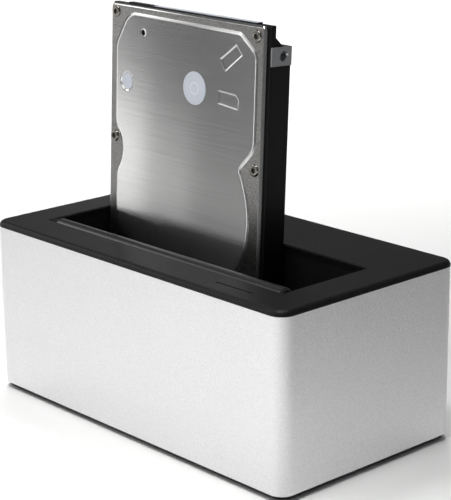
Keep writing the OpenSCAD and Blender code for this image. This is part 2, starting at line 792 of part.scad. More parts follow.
// Opening of the USB socket, drawn with its floor at the origin
module usb_opening() {
  polygon([
    [-usb_low_w / 2, 0], [usb_low_w / 2, 0], [usb_low_w / 2, usb_low_h - usb_bevel],
    [usb_low_w / 2 - usb_bevel, usb_low_h], [usb_bevel - usb_low_w / 2, usb_low_h],
    [-usb_low_w / 2, usb_low_h - usb_bevel]
  ]);
  translate([-usb_top_w / 2, 0]) square([usb_top_w, usb_low_h + usb_top_h]);
}

// Frame of the USB opening: mouth at y = 0, floor of the opening at z = 0
module in_usb() {
  translate([usb_x, port_y, board_top + usb_floor]) children();
}

module usb_shell() color("#b7b9bc") difference() {
  translate([usb_x - usb_w / 2, port_y - usb_d, board_top]) cube([usb_w, usb_d, usb_h]);
  in_usb() translate([0, cut, 0]) rotate([90, 0, 0]) linear_extrude(usb_hollow + cut) usb_opening();
}

module usb_tongue() color("#2f4f9b") in_usb() {
  translate([0, usb_block - usb_hollow, 0]) rotate([90, 0, 0]) linear_extrude(usb_block) usb_opening();
  translate([-usb_tongue_w / 2, -usb_hollow, (usb_low_h - usb_tongue_t) / 2])
    cube([usb_tongue_w, usb_block + usb_tongue_l, usb_tongue_t]);
  translate([-usb_tongue_w / 2 + usb_fin_t, -usb_hollow, usb_low_h + (usb_top_h - usb_fin_t) / 2])
    cube([usb_tongue_w - 2 * usb_fin_t, usb_block + usb_tongue_l, usb_fin_t]);
}

module usb_contacts() color("#d4b25e") in_usb()
  for (x = [-1, 1], side = [0, 1])
    translate([
      x * usb_pitch / 2 - usb_contact_w / 2, usb_block - usb_hollow,
      (usb_low_h - usb_tongue_t) / 2 + side * (usb_tongue_t + contact_t) - contact_t
    ])
      cube([usb_contact_w, usb_tongue_l - cut, contact_t]);

module power_jack() color("#222224") difference() {
  translate([jack_x - jack_w / 2, port_y - jack_d, board_top]) cube([jack_w, jack_d, jack_h]);
  translate([jack_x, port_y + cut, jack_z]) rotate([90, 0, 0]) {
    cylinder(r = jack_bore_r, h = jack_bore_d + cut);
    cylinder(r = jack_pin_r, h = jack_bore_d + jack_pin_seat + cut);
  }
}

module jack_pin() color("#c8c9cb")
  translate([jack_x, port_y - jack_pin_back, jack_z]) rotate([90, 0, 0])
    cylinder(r = jack_pin_r, h = jack_bore_d + jack_pin_seat - jack_pin_back);

// Box round the switch's middle, from the panel's face y_out inwards by d
module switch_box(half_l, half_h, y_out, d) {
  translate([switch_x - half_l, y_out - d, switch_z - half_h]) cube([2 * half_l, d, 2 * half_h]);
}

module switch_frame() color("#1b1b1c") {
  difference() {
    union() {
      switch_box(switch_half_l + switch_wall, switch_half_h + switch_wall, in_w / 2, switch_d);
      switch_box(
        switch_half_l + switch_wall + switch_lip, switch_half_h + switch_wall + switch_lip,
        in_w / 2 + switch_lip_t, switch_lip_t
      );
    }
    switch_box(switch_half_l, switch_half_h, in_w / 2 + switch_lip_t + cut, switch_hollow + cut);
  }
  translate([switch_x, pivot_y, switch_z - switch_half_h - switch_wall / 2])
    cylinder(r = pivot_r, h = 2 * switch_half_h + switch_wall);
}

module switch_tabs() color("#c9a45a")
  for (x = [-1, 1])
    translate([switch_x + x * switch_half_l / 2, in_w / 2 - switch_d - tab_l / 2, switch_z])
      cube([switch_wall, tab_l, switch_half_h], center = true);

module power_rocker() color("#0f0f10")
translate([switch_x, pivot_y, switch_z]) rotate(-rocker_tip) difference() {
  wing = rocker_half * tan(rocker_tip);
  foot = rocker_half - 2 * rocker_gap;
  translate([0, 0, rocker_gap - switch_half_h]) linear_extrude(2 * (switch_half_h - rocker_gap)) polygon([
    [-rocker_half, rocker_up + wing], [0, rocker_up], [rocker_half, rocker_up + wing],
    [foot, -1.5 * pivot_r], [2 * pivot_r, -2.5 * pivot_r],
    [-2 * pivot_r, -2.5 * pivot_r], [-foot, -1.5 * pivot_r]
  ]);
  cylinder(r = pivot_r + pin_gap, h = 4 * switch_half_h, center = true);
}

module hinge_pin() color("#a9abae")
  translate([-slot_l / 2 - pin_bite, axis_y, axis_z]) bar(pin_r, slot_l + 2 * pin_bite);

module flap_spring() color("#9a9ca0") translate([spring_x, axis_y, axis_z]) {
  rotate([0, 90, 0]) rotate_extrude()
    for (turn = [0 : spring_turns - 1])
      translate([spring_r, turn * spring_pitch]) circle(wire_r);
  translate([0, -spring_r, -spring_leg]) cylinder(r = 0.85 * wire_r, h = spring_leg);
}

module drive_flap() color("#39383b") difference() {
  union() {
    translate([barrel_x, axis_y, axis_z]) rotate([0, 90, 0]) {
      translate([0, 0, barrel_round]) cylinder(r = barrel_r, h = barrel_l - 2 * barrel_round);
      cylinder(r1 = barrel_r - barrel_round, r2 = barrel_r, h = barrel_round);
      translate([0, 0, barrel_l - barrel_round])
        cylinder(r1 = barrel_r, r2 = barrel_r - barrel_round, h = barrel_round);
    }
    translate([-flap_l / 2, axis_y, axis_z - flap_reach]) cube([flap_l, flap_t, flap_reach]);
  }
  translate([barrel_x - cut, axis_y, axis_z]) bar(pin_r + pin_gap, barrel_l + 2 * cut);
  translate([barrel_x - spring_room, axis_y - cut, axis_z - 2 * spring_r])
    cube([spring_room, flap_t + 2 * cut, 2 * spring_r + cut]);
  translate([barrel_x + barrel_l, axis_y - cut, axis_z - 2 * spring_r])
    cube([spring_room, flap_t + 2 * cut, 2 * spring_r + cut]);
}

// Raised panel of the lid, measured down from the start of its drawing
module lid_panel() {
  difference() {
    union() {
      polygon(panel_outline);
      translate([0, disk_s]) circle(panel_arc_r);
    }
    for (bay = panel_bays)
      translate([bay[0], bay[1]]) circle(bay[2]);
    translate([-lid_w / 2, panel_foot_s]) square([lid_w, lid_l]);
  }
}

// The places of the lid screws, on the lid's drawing
module at_lid_screws() {
  from_lid_top() for (at = lid_screws_at) translate(at) children();
}

// Mounting hole running along +Z from its mouth at z = 0, with its countersink
module mounting_hole() {
  sink = hole_sink_r - hole_r;
  cylinder(r = hole_r, h = hole_d);
  translate([0, 0, -cut]) cylinder(r1 = hole_sink_r + cut, r2 = hole_r, h = sink + cut);
}

module drive_base() color("#232325") in_drive() difference() {
  union() {
    translate([-side_x, 0, 0]) rotate([90, 0, 90]) linear_extrude(2 * side_x) polygon([
      [lid_t, 0], [drive_d, 0], [drive_d, ear_top], [far_knee, ear_top], [far_edge, drive_l - far_slope],
      [far_edge, drive_l - wall_rise], [lid_t, drive_l - wall_rise]
    ]);
    translate([-wall_left, lid_t, drive_l - far_slope])
      cube([wall_left + wall_right, far_edge - lid_t, far_slope]);
    for (z = [hole_low, hole_low + hole_pitch])
      translate([-drive_w / 2, lid_t, z - ear_h / 2]) cube([drive_w, drive_d - lid_t, ear_h]);
  }
  for (z = [hole_low, hole_low + hole_pitch], x = [-1, 1]) {
    translate([x * drive_w / 2, drive_d - hole_up, z]) rotate([0, -90 * x, 0]) mounting_hole();
    translate([x * hole_span / 2, drive_d, z]) rotate([90, 0, 0]) mounting_hole();
  }
  on_lid() translate([0, 0, -lid_screw_l + lid_t - lid_seat]) linear_extrude(lid_screw_l)
    at_lid_screws() circle(lid_screw_r);
  on_rear() translate([0, 0, -cut]) linear_extrude(pcb_t + cut) drive_board_outline();
  on_rear() linear_extrude(pcb_t + pcb_screw_l) for (at = pcb_screws_at) translate(at) circle(pcb_screw_r);
  on_rear() translate([0, disk_z, -cut]) cylinder(r = motor_r, h = motor_t + cut);
  plug_body();
}

module drive_lid() color("#aeb0b3") in_drive() difference() {
  union() {
    on_lid() translate([0, lid_foot + lid_l / 2, 0]) soft_slab(lid_w, lid_l, lid_t, lid_corner, lid_edge);
    on_lid() linear_extrude(lid_t + lid_raise) from_lid_top() lid_panel();
  }
  on_lid() translate([0, 0, -cut]) linear_extrude(lid_t + 2 * cut) at_lid_screws() circle(lid_screw_r);
  on_lid() translate([0, 0, lid_t - lid_seat]) linear_extrude(lid_seat + cut)
    at_lid_screws() circle(lid_head_r + fit);
  on_lid() translate([0, 0, lid_t + lid_raise - small_recess_d]) linear_extrude(small_recess_d + cut)
    from_lid_top() translate(small_seal_at) circle(small_recess_r);
  on_lid() translate([0, 0, lid_t + lid_raise - pad_drop]) linear_extrude(pad_drop + cut) from_lid_top() {
    polygon(slanted_pad);
    polygon(level_pad);
  }
  on_lid() translate([0, 0, lid_t / 2]) linear_extrude(lid_t)
    from_lid_top() translate(breather_at) circle(breather_r);
}

module lid_screws() color("#cfd0d2") in_drive() on_lid()
  from_lid_top() for (at = lid_screws_at)
    translate([at[0], at[1], lid_t - lid_seat]) difference() {
      union() {
        cylinder(r = lid_head_r, h = lid_head_h);
        translate([0, 0, -lid_screw_l]) cylinder(r = lid_screw_r, h = lid_screw_l);
      }
      for (turn = [0, 60, 120])
        translate([0, 0, lid_head_h]) rotate(turn)
          cube([1.1 * lid_head_r, lid_head_r / 3, lid_head_h], center = true);
    }

module large_seal() color("#e9e9e6") in_drive() on_lid()
  translate([0, 0, lid_t + lid_raise])
    linear_extrude(seal_t) from_lid_top() translate(seal_at) circle(seal_r);

module small_seal() color("#e9e9e6") in_drive() on_lid()
  translate([0, 0, lid_t + lid_raise - small_recess_d])
    linear_extrude(seal_t) from_lid_top() translate(small_seal_at) circle(small_seal_r);

// Outline of the drive's circuit board on the rear face
module drive_board_outline() {
  difference() {
    translate([-pcb_half, plug_h]) square([2 * pcb_half, pcb_top - plug_h]);
    translate([0, disk_z]) circle(motor_clear_r);
    for (x = [-1, 1])
      translate([x * hole_span / 2, hole_low]) circle(boss_clear_r);
  }
}

module drive_board() color("#1e4d7a") in_drive() on_rear() linear_extrude(pcb_t) difference() {
  drive_board_outline();
  for (at = pcb_screws_at)
    translate(at) circle(pcb_head_r + fit);
}

module drive_board_screws() color("#a7a9ac") in_drive() on_rear()
  for (at = pcb_screws_at)
    translate([at[0], at[1], pcb_t - pcb_head_h])
      pan_screw(pcb_head_r, pcb_head_h, pcb_screw_r, pcb_screw_l);

module motor_cap() color("#b3b5b8") in_drive() on_rear()
  translate([0, disk_z, 0]) linear_extrude(motor_t) difference() {
    circle(motor_r);
    circle(motor_r / 4);
  }

// Frame of the drive's plug: tongue's middle at the connector end
module in_plug() {
  translate([-sata_offset, tongue_depth, 0]) children();
}

// Outer block of the drive's plug
module plug_body() {
  in_plug() translate([-plug_pocket_l / 2 - plug_wall, -plug_pocket_w / 2 - plug_wall, 0])
    cube([plug_pocket_l + 2 * plug_wall, drive_d - tongue_depth + plug_pocket_w / 2 + plug_wall, plug_h]);
}

module drive_plug() color("#1a1a1b") in_drive() {
  difference() {
    plug_body();
    in_plug() translate([-plug_pocket_l / 2, -plug_pocket_w / 2, -cut])
      cube([plug_pocket_l, plug_pocket_w, plug_pocket_h + cut]);
  }
  in_plug() translate([0, 0, plug_room]) linear_extrude(plug_pocket_h) {
    translate([signal_x, 0]) tongue_outline(signal_l, 0);
    translate([power_x, 0]) tongue_outline(power_l, 0);
  }
}

module plug_contacts() color("#d4b25e") in_drive() in_plug() contact_rows()
  translate([-contact_w / 2, tongue_t / 2, 2 * plug_room])
    cube([contact_w, contact_t, plug_pocket_h - 2 * plug_room]);

aluminium_sleeve();
top_cover();
drive_well();
base_plate();
base_screws();
rubber_feet();
main_board();
board_screws();
bridge_chip();
crystal();
capacitors();
choke();
status_leds();
light_guide();
sata_socket();
sata_contacts();
rear_panel();
usb_shell();
usb_tongue();
usb_contacts();
power_jack();
jack_pin();
switch_frame();
switch_tabs();
power_rocker();
hinge_pin();
flap_spring();
drive_flap();
drive_base();
drive_lid();
lid_screws();
large_seal();
small_seal();
drive_board();
drive_board_screws();
motor_cap();
drive_plug();
plug_contacts();
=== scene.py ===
# %% [markdown]
# # A docking station with a bare hard drive in its slot
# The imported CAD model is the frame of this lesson: every node already sits in its place, in metres.
# We keep each node whose shape is right and give it a real surface, and model afresh only the
# pieces where pressed metal is rounder than the CAD solid.

import json
import math

import bmesh
import bpy
from mathutils import Matrix, Quaternion, Vector

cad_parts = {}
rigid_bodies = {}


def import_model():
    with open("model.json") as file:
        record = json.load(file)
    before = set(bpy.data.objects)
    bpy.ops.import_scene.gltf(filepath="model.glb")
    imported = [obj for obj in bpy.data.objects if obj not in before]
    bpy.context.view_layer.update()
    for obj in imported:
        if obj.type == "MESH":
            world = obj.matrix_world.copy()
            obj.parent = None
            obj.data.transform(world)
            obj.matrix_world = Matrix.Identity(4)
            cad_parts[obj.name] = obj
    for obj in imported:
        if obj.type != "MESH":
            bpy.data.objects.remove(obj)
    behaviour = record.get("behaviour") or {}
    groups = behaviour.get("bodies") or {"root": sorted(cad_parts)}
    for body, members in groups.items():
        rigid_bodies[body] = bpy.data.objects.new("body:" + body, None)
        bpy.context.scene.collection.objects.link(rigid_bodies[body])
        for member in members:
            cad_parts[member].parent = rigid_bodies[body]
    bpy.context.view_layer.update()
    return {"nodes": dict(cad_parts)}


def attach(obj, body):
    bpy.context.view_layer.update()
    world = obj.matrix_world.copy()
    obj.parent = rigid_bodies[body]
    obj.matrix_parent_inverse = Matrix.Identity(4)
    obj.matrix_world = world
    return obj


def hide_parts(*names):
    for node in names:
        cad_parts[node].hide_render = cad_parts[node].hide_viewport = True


for leftover in list(bpy.data.objects):
    bpy.data.objects.remove(leftover)
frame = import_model()

# %% [markdown]
# ## Camera
# A product photograph is taken from far away with a long lens, so the upright edges stay nearly
# parallel. We place the camera by its two points in space, the eye and the point it looks at, because
# these are easy to read back. The lens is given for a sensor of 36 mm along the picture's long side.

# %% Camera
EYE = Vector((0.367194, -0.331598, 0.196579))
LOOKED_AT = Vector((0.004804, -0.000404, 0.048574))
LENS_MM, SENSOR_MM = 126.19, 36.0
SHIFT_X, SHIFT_Y = -0.0006, 0.0196
ROLL = math.radians(-0.536)
lens = bpy.data.cameras.new("studio_camera")
lens.lens, lens.sensor_width = LENS_MM, SENSOR_MM
lens.shift_x, lens.shift_y = SHIFT_X, SHIFT_Y
lens.clip_start, lens.clip_end = 0.01, 20.0
camera = bpy.data.objects.new("studio_camera", lens)
camera.rotation_mode = "QUATERNION"
camera.location = EYE
sight = (LOOKED_AT - EYE).to_track_quat("-Z", "Y")
camera.rotation_quaternion = sight @ Quaternion((0, 0, 1), ROLL)
bpy.context.scene.collection.objects.link(camera)
bpy.context.scene.camera = camera
print("camera to object, mm:", round((EYE - LOOKED_AT).length * 1000))

# %% [markdown]
# ## Colour and node helpers
# Colours are picked on a screen as sRGB hex values, but a renderer mixes light in linear numbers, so one
# function converts them. A second small function adds a shader node, sets its fields and fills its sockets:
# a value is stored on the socket, and another node's output is linked to it. Every material below is made
# with these two.

# %% Colour and node helpers
MM = 0.001
MATHS, VECTOR_MATHS = "ShaderNodeMath", "ShaderNodeVectorMath"


def linear(code):
    """sRGB hex such as "#c8c9cb" to linear RGBA."""
    parts = [int(code[i:i + 2], 16) / 255 for i in (1, 3, 5)]
    return [p / 12.92 if p <= 0.04045 else ((p + 0.055) / 1.055) ** 2.4 for p in parts] + [1.0]


def add(tree, kind, sockets=None, **fields):
    """Adds one node; a socket's value is a plain value or another node's output."""
    made = tree.nodes.new(kind)
    for key, value in fields.items():
        setattr(made, key, value)
    for key, value in (sockets or {}).items():
        if isinstance(value, bpy.types.NodeSocket):
            tree.links.new(value, made.inputs[key])
        else:
            made.inputs[key].default_value = value
    return made


print("mid grey", [round(c, 3) for c in linear("#808080")])

# %% [markdown]
# ## Floor
# The dock stands on white paper that runs far beyond the picture. The paper is matt, so it takes a soft
# shadow and throws light back evenly. A single square face is enough, because nothing bends it.

# %% Floor
PAPER_HALF = 6.0
sheet = bmesh.new()
bmesh.ops.create_grid(sheet, x_segments=1, y_segments=1, size=PAPER_HALF)
mesh = bpy.data.meshes.new("paper_floor")
sheet.to_mesh(mesh)
sheet.free()
# White and without any gloss
paper = bpy.data.materials.new("white_paper")
paper.use_nodes = True
shader = paper.node_tree.nodes["Principled BSDF"]
shader.inputs["Base Color"].default_value = linear("#f3f3f2")
shader.inputs["Roughness"].default_value = 0.9
shader.inputs["Specular IOR Level"].default_value = 0.0
mesh.materials.append(paper)
floor = bpy.data.objects.new("paper_floor", mesh)
bpy.context.scene.collection.objects.link(floor)
print("paper, m across:", 2 * PAPER_HALF)

# %% [markdown]
# ## Lamps
# Metal shows less of its own colour than of what stands around it, so each lamp is placed by asking what a
# surface mirrors. Three spots light mainly the paper: behind the dock for a white background, in front of it
# and to its right, because the sleeve's two walls mirror the paper there. Two wide softboxes draw the bright
# line along the lid's pressed shoulder. Three low panels are what the middle of the lid mirrors, two strips
# catch its rounded edges, and a small lamp at the back puts a sheen on the black cover.

# %% Lamps
def on_ring(turn, height, away=0.9):
    """A place round the dock, by its compass turn in degrees and its height."""
    return (away * math.cos(math.radians(turn)), away * math.sin(math.radians(turn)), height)


def lamp(name, kind, place, aim, watts, **fields):
    """A lamp at a place, turned to the point it aims at."""
    data = bpy.data.lights.new(name, kind)
    data.energy = watts
    for key, value in fields.items():
        setattr(data, key, value)
    made = bpy.data.objects.new(name, data)
    made.location = place
    made.rotation_mode = "QUATERNION"
    made.rotation_quaternion = (Vector(aim) - Vector(place)).to_track_quat("-Z", "Y")
    bpy.context.scene.collection.objects.link(made)


# Name, place, aim, watts, cone in degrees, softness of the cone's edge, radius
SPOTS = [
    ("paper_spot", (-0.50, 0.47, 1.2), (-0.50, 0.47, 0), 72.0, 60.5, 0.3, 0.25),
    ("front_spot", (0.05, -0.46, 1.1), (-0.02, -0.28, 0), 64.0, 33, 0.8, 0.2),
    ("right_spot", (0.3, -0.26, 1.0), (0.22, -0.18, 0), 58.0, 20, 1.0, 0.2),
]
# Name, place, aim, watts, width, height, spread in degrees
PANELS = [
    ("softbox_196", on_ring(196, 0.56), (0, 0, 0.06), 0.095, 0.66, 0.3, 38),
    ("softbox_236", on_ring(236, 0.56), (0, 0, 0.06), 0.095, 0.66, 0.3, 38),
    ("low_panel_206", on_ring(206, 0.05), (0, 0, 0.075), 0.18, 0.26, 0.1, 180),
    ("low_panel_219", on_ring(219, 0.05), (0, 0, 0.075), 0.05, 0.16, 0.1, 180),
    ("low_panel_233", on_ring(233, 0.05), (0, 0, 0.075), 0.042, 0.28, 0.1, 180),
    ("left_strip", (-0.77, -0.25, 0.18), (0, 0, 0.1), 0.3, 0.14, 0.34, 180),
    ("front_strip", (-0.125, -0.587, 0.14), (0, 0, 0.09), 0.16, 0.09, 0.26, 180),
]
for name, place, aim, watts, cone, blend, radius in SPOTS:
    lamp(name, "SPOT", place, aim, watts, spot_size=math.radians(cone), spot_blend=blend,
         shadow_soft_size=radius)
for name, place, aim, watts, width, height, spread in PANELS:
    lamp(name, "AREA", place, aim, watts, shape="RECTANGLE", size=width, size_y=height,
         spread=math.radians(spread))
lamp("rear_lamp", "AREA", (-0.683, 0.512, 0.31), (-0.01, -0.03, 0.054), 0.05, shape="DISK", size=0.08)

# %% [markdown]
# ## Walls of the studio
# What no lamp fills is mirrored too. A dim grey world stands for the studio's walls, so that metal turned
# away from the lamps shows grey instead of black. The Standard view transform leaves colours as written.

# %% Walls of the studio
studio = bpy.data.worlds.new("studio_walls")
studio.use_nodes = True
studio.node_tree.nodes["Background"].inputs["Color"].default_value = linear("#6e6e6f")
bpy.context.scene.world = studio
bpy.context.scene.view_settings.view_transform = "Standard"
print("world", studio.name)

# %% [markdown]
# ## One grained surface
# Most of these materials are one even stuff with a grain: blasted aluminium, moulded plastic, plated steel.
# The function below draws that once. A fine noise, sized in millimetres, moves the colour and the roughness
# between two values and makes a little relief; a broad noise stands for handling marks and varies the
# roughness slowly. Each finish then only says what it is made of.

# %% One grained surface
HANDLED = 25 * MM


def grained(name, pale, dark, grain_mm, rough, relief_mm, metallic=0.0, along=(1, 1, 1), specular=0.5):
    """A Principled surface between two colours and two roughnesses; returns material, tree and shader."""
    material = bpy.data.materials.new(name)
    material.use_nodes = True
    tree = material.node_tree
    shader = tree.nodes["Principled BSDF"]
    shader.inputs["Metallic"].default_value = metallic
    shader.inputs["Specular IOR Level"].default_value = specular
    where = add(tree, "ShaderNodeTexCoord").outputs["Object"]
    fine = add(tree, "ShaderNodeMapping", {"Vector": where, "Scale": along}).outputs["Vector"]
    grain = add(tree, "ShaderNodeTexNoise", {"Vector": fine, "Scale": 1 / (grain_mm * MM), "Detail": 2.0})
    broad = add(tree, "ShaderNodeTexNoise", {"Vector": where, "Scale": 1 / HANDLED, "Detail": 3.0})
    spread = add(tree, "ShaderNodeMapRange", {"Value": grain.outputs[0], "From Min": 0.3, "From Max": 0.7})
    tone = add(tree, "ShaderNodeMix", {0: spread.outputs[0], 6: linear(dark), 7: linear(pale)},
               data_type="RGBA")
    worn = add(tree, MATHS, {0: spread.outputs[0], 1: broad.outputs[0]}, operation="ADD")
    gloss = add(tree, "ShaderNodeMapRange", {"Value": worn.outputs[0], "From Min": 0.2, "From Max": 1.4,
                                             "To Min": rough[0], "To Max": rough[1]})
    relief = add(tree, "ShaderNodeBump", {"Height": grain.outputs[0], "Strength": 1.0,
                                          "Distance": relief_mm * MM})
    tree.links.new(tone.outputs[2], shader.inputs["Base Color"])
    tree.links.new(gloss.outputs[0], shader.inputs["Roughness"])
    tree.links.new(relief.outputs[0], shader.inputs["Normal"])
    return material, tree, shader


def dress(material, *names):
    """Puts one material on CAD nodes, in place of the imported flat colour."""
    for name in names:
        mesh = frame["nodes"][name].data
        mesh.materials.clear()
        mesh.materials.append(material)
    print(material.name, "on", ", ".join(names))


print("handling marks, mm across:", round(HANDLED / MM))

# %% [markdown]
# ## Sleeve of anodised aluminium
# The sleeve is an extruded tube that was blasted with fine glass beads and then anodised clear. The bead
# marks are about 0.1 mm across, finer than a pixel, so the grain is drawn coarser, at 0.4 mm. The lines that
# extruding leaves aren't drawn, because blasting takes them away.

# %% Sleeve of anodised aluminium
# A pale, even, silky metal with a fine sparkle and no clear mirror image
blasted_aluminium, _, _ = grained("blasted_anodised_aluminium", "#eaeaea", "#dcdcdd", 0.4, (0.36, 0.46),
                                  0.08, metallic=1.0)
dress(blasted_aluminium, "aluminium_sleeve")

# %% [markdown]
# ## Cover, flap and base of black ABS
# These are injection moulded in a mould with an etched grain. ABS is black all through; the grain breaks its
# gloss, so the top looks dark grey where it faces a wall and black inside the slot. The real grain is about
# 0.15 mm and is drawn coarser, at 0.6 mm. The flap comes from a smoother mould, so its barrel shows a soft
# line of light along it.

# %% Cover, flap and base of black ABS
# Dark grey with a broken gloss
black_abs, _, _ = grained("grained_black_abs", "#161517", "#09080a", 0.6, (0.36, 0.5), 0.09, specular=0.22)
# Dull and nearly black
inner_abs, _, _ = grained("smooth_black_abs", "#131314", "#0c0c0d", 0.6, (0.5, 0.62), 0.01, specular=0.3)
# Black with a silky sheen
satin_abs, _, _ = grained("satin_black_abs", "#1b1a1c", "#131214", 0.5, (0.26, 0.34), 0.01, specular=0.65)
dress(black_abs, "top_cover", "rear_panel", "base_plate")
dress(satin_abs, "drive_flap")
dress(inner_abs, "drive_well")

# %% [markdown]
# ## Rubber, steel and gold
# The small parts are named for what they are: rubber feet, zinc plated screws, nickel plated shells,
# blackened spring steel and gold plated contacts. A metal hardly shows a colour under its shine: its base
# colour is the colour of its reflection, and it keeps the default index of refraction.

# %% Rubber, steel and gold
# A dull black skin
rubber, _, _ = grained("black_rubber", "#1c1c1c", "#121212", 0.5, (0.75, 0.9), 0.02, specular=0.3)
# A bluish grey with a soft gloss
zinc, _, _ = grained("zinc_plated_steel", "#b9bcc0", "#9a9da2", 0.6, (0.25, 0.38), 0.004, metallic=1.0)
# A warm grey, nearly a mirror
nickel, _, _ = grained("nickel_plate", "#c9c6bf", "#b3b0a9", 1.2, (0.16, 0.26), 0.002, metallic=1.0)
# Nearly black, with fine lines along the wire
spring_steel, _, _ = grained("blackened_spring_steel", "#2b2b2d", "#1d1d1f", 0.3, (0.35, 0.45), 0.004,
                             metallic=1.0, along=(0.1, 1, 1))
# Deep yellow, bright where it turns to the light
gold, _, _ = grained("gold_plate", "#e3bf6c", "#cda450", 0.4, (0.2, 0.3), 0.002, metallic=1.0)
dress(rubber, "rubber_feet")
dress(zinc, "base_screws", "board_screws", "drive_board_screws")
dress(nickel, "usb_shell", "jack_pin", "crystal")
dress(spring_steel, "hinge_pin", "flap_spring")
dress(gold, "sata_contacts", "usb_contacts", "plug_contacts", "switch_tabs")

# %% [markdown]
# ## Connectors, switch and board parts
# Connector bodies are moulded from glass-filled nylon and the switch from plain nylon. The tongue in the data
# socket is blue PBT, chips are cast in epoxy, the choke is sintered ferrite and the light guide is smoked
# acrylic. Each is one more call of the same function, with its own colours, grain and gloss.

# %% Connectors, switch and board parts
# Matt black, slightly flecked
glass_nylon, _, _ = grained("glass_filled_nylon", "#1c1c1d", "#101011", 0.35, (0.45, 0.6), 0.01)
# Black with a clear sheen
switch_nylon, _, _ = grained("satin_black_nylon", "#161617", "#101011", 0.5, (0.28, 0.36), 0.006)
# Strong blue, half matt
blue_pbt, _, _ = grained("blue_pbt", "#2c54a8", "#234793", 0.5, (0.4, 0.5), 0.006)
# Grey-black and chalky
epoxy, _, _ = grained("moulded_epoxy", "#2a2a2b", "#202021", 0.25, (0.55, 0.7), 0.01)
# Charcoal with an open grain
ferrite, _, _ = grained("sintered_ferrite", "#3f3e3d", "#2e2d2c", 0.4, (0.6, 0.75), 0.02)
# Navy film, tight and glossy
can_sleeve, _, _ = grained("shrunk_pet_sleeve", "#26324f", "#1e2840", 1.0, (0.22, 0.3), 0.004)
# Pale cream and glossy
diode, _, _ = grained("clear_diode_lens", "#efe9cf", "#e2d9b4", 0.5, (0.12, 0.2), 0.002)
# Black as long as no light shines through it
smoked, _, _ = grained("smoked_acrylic", "#0d0d0e", "#080809", 1.5, (0.3, 0.4), 0.001, specular=0.3)
dress(glass_nylon, "sata_socket", "power_jack", "drive_plug")
dress(switch_nylon, "switch_frame", "power_rocker")
dress(blue_pbt, "usb_tongue")
dress(epoxy, "bridge_chip")
dress(ferrite, "choke")
dress(can_sleeve, "capacitors")
dress(diode, "status_leds")
dress(smoked, "light_guide")

# %% [markdown]
# ## Circuit boards
# A circuit board is glass fibre under a coloured lacquer, the solder mask. Copper tracks under the mask show
# as slightly paler bands that run square to the edges. A cell texture that measures distance squarewise
# gives nested squares, and cutting its distance into steps turns them into such bands.

# %% Circuit boards
TRACK_CELL, TRACK_STEPS, TRACK_GAP = 3.2 * MM, 9.0, 0.62


def solder_mask(name, pale, dark, track):
    """Lacquer with paler copper tracks under it; returns the material."""
    material, tree, shader = grained(name, pale, dark, 0.8, (0.25, 0.35), 0.003)
    where = add(tree, "ShaderNodeTexCoord").outputs["Object"]
    cells = add(tree, "ShaderNodeTexVoronoi", {"Vector": where, "Scale": 1 / TRACK_CELL},
                distance="CHEBYCHEV", feature="F1")
    steps = add(tree, MATHS, {0: cells.outputs["Distance"], 1: TRACK_STEPS}, operation="MULTIPLY")
    share = add(tree, MATHS, {0: steps.outputs[0]}, operation="FRACT")
    band = add(tree, MATHS, {0: share.outputs[0], 1: TRACK_GAP}, operation="GREATER_THAN")
    plain = shader.inputs["Base Color"].links[0].from_socket
    tone = add(tree, "ShaderNodeMix", {0: band.outputs[0], 6: plain, 7: linear(track)}, data_type="RGBA")
    tree.links.new(tone.outputs[2], shader.inputs["Base Color"])
    return material


# Glossy lacquer, paler over the tracks
dress(solder_mask("green_solder_mask", "#1d6b3a", "#185c31", "#2f8450"), "main_board")
dress(solder_mask("blue_solder_mask", "#1a3f66", "#153558", "#28588a"), "drive_board")

# %% [markdown]
# ## Casting of the drive
# The drive's base is die-cast aluminium with a black electrocoat. Only the ears round the mounting holes are
# milled after coating, so they and the holes show bare metal. The ears are the only places that reach
# the drive's full width, so the distance from its middle line tells the two apart. A hole is told by the
# distance from its axis, which runs straight across the drive.

# %% Casting of the drive
DRIVE_X = -15.875 * MM
EAR_FROM = 34.6 * MM
HOLE_FROM, HOLE_R = 30 * MM, 1.7 * MM
HOLE_AXES = ((9.46 * MM, 109.18 * MM), (5.63 * MM, 32.67 * MM))
# An even satin black, with bare grey metal at the ears
casting, tree, shader = grained("coated_casting", "#0d0d0e", "#080809", 0.6, (0.38, 0.48), 0.01,
                                specular=0.25)
where = add(tree, "ShaderNodeTexCoord").outputs["Object"]
axes = add(tree, "ShaderNodeSeparateXYZ", {"Vector": where}).outputs
signed = add(tree, MATHS, {0: axes["X"], 1: DRIVE_X}, operation="SUBTRACT").outputs[0]
across = add(tree, MATHS, {0: signed}, operation="ABSOLUTE").outputs[0]
bare = add(tree, MATHS, {0: across, 1: EAR_FROM}, operation="GREATER_THAN").outputs[0]
outer = add(tree, MATHS, {0: across, 1: HOLE_FROM}, operation="GREATER_THAN").outputs[0]
flattened = add(tree, VECTOR_MATHS, {0: where, 1: (0, 1, 1)}, operation="MULTIPLY").outputs[0]
for y, z in HOLE_AXES:
    reach = add(tree, VECTOR_MATHS, {0: flattened, 1: (0, y, z)}, operation="DISTANCE").outputs["Value"]
    within = add(tree, MATHS, {0: reach, 1: HOLE_R}, operation="LESS_THAN").outputs[0]
    bored = add(tree, MATHS, {0: within, 1: outer}, operation="MULTIPLY").outputs[0]
    bare = add(tree, MATHS, {0: bare, 1: bored}, operation="MAXIMUM").outputs[0]
coat = shader.inputs["Base Color"].links[0].from_socket
tone = add(tree, "ShaderNodeMix", {0: bare, 6: coat, 7: linear("#b4b5b8")}, data_type="RGBA").outputs[2]
tree.links.new(bare, shader.inputs["Metallic"])
print(casting.name, "nodes", len(tree.nodes))
